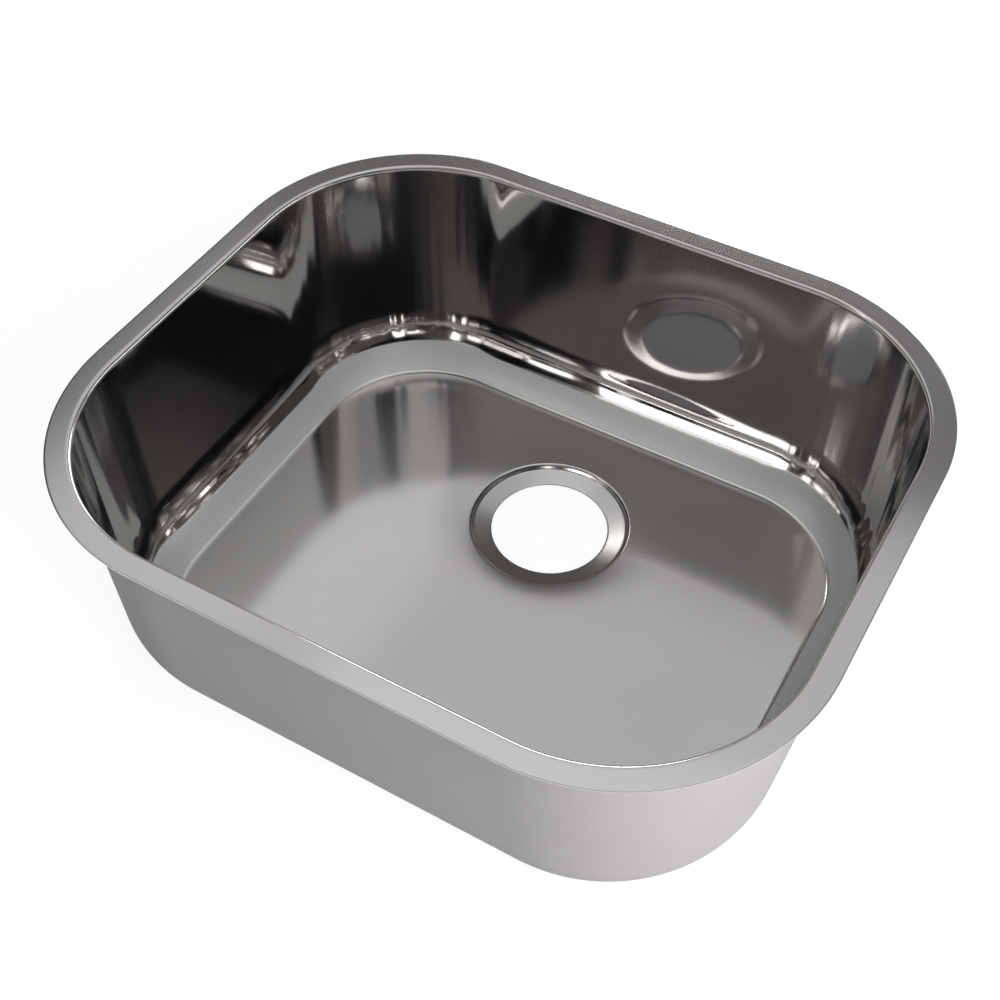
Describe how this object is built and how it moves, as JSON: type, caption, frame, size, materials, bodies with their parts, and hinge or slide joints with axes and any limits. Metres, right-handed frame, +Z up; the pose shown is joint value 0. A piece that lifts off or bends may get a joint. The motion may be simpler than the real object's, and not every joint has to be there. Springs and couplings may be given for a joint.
{
  "type": "undermount kitchen sink",
  "caption": "Undermount kitchen sink: a deep rounded stainless steel bowl with a flat flange, an open outlet near the back, rubber sound pads and swing-out fixing clips.",
  "frame": {"origin": "on the surface that the sink stands on, under the middle of the rim", "axes": "+X along the long side, +Y towards the back where the outlet is, +Z up out of the bowl"},
  "size_m": [0.53, 0.456, 0.1898],
  "materials": {
    "bowl_steel": "mirror polished walls, satin flange and floor",
    "undercoat": "matte sprayed coat",
    "pad_rubber": "matte",
    "clip_steel": "bright zinc plate"
  },
  "bodies": {
    "bowl": {"sink_bowl": "bowl_steel", "undercoat": "undercoat", "left_pad": "pad_rubber", "right_pad": "pad_rubber", "front_pad": "pad_rubber", "clip_studs": "clip_steel", "stud_washers": "clip_steel"},
    "front_left_clip": {"front_left_clip": "clip_steel"},
    "front_right_clip": {"front_right_clip": "clip_steel"},
    "back_left_clip": {"back_left_clip": "clip_steel"},
    "back_right_clip": {"back_right_clip": "clip_steel"},
    "left_front_clip": {"left_front_clip": "clip_steel"},
    "left_back_clip": {"left_back_clip": "clip_steel"},
    "right_front_clip": {"right_front_clip": "clip_steel"},
    "right_back_clip": {"right_back_clip": "clip_steel"}
  },
  "joints": [
    {"name": "front_left_swing", "type": "hinge", "parent": "bowl", "child": "front_left_clip", "pos_m": [-0.075, -0.2195, 0.18765], "axis": [0, 0, -1], "range_deg": [0, 90]},
    {"name": "front_right_swing", "type": "hinge", "parent": "bowl", "child": "front_right_clip", "pos_m": [0.075, -0.2195, 0.18765], "axis": [0, 0, 1], "range_deg": [0, 90]},
    {"name": "back_left_swing", "type": "hinge", "parent": "bowl", "child": "back_left_clip", "pos_m": [-0.075, 0.2195, 0.18765], "axis": [0, 0, 1], "range_deg": [0, 90]},
    {"name": "back_right_swing", "type": "hinge", "parent": "bowl", "child": "back_right_clip", "pos_m": [0.075, 0.2195, 0.18765], "axis": [0, 0, -1], "range_deg": [0, 90]},
    {"name": "left_front_swing", "type": "hinge", "parent": "bowl", "child": "left_front_clip", "pos_m": [-0.2565, -0.048, 0.18765], "axis": [0, 0, 1], "range_deg": [0, 90]},
    {"name": "left_back_swing", "type": "hinge", "parent": "bowl", "child": "left_back_clip", "pos_m": [-0.2565, 0.048, 0.18765], "axis": [0, 0, -1], "range_deg": [0, 90]},
    {"name": "right_front_swing", "type": "hinge", "parent": "bowl", "child": "right_front_clip", "pos_m": [0.2565, -0.048, 0.18765], "axis": [0, 0, -1], "range_deg": [0, 90]},
    {"name": "right_back_swing", "type": "hinge", "parent": "bowl", "child": "right_back_clip", "pos_m": [0.2565, 0.048, 0.18765], "axis": [0, 0, 1], "range_deg": [0, 90]}
  ]
}
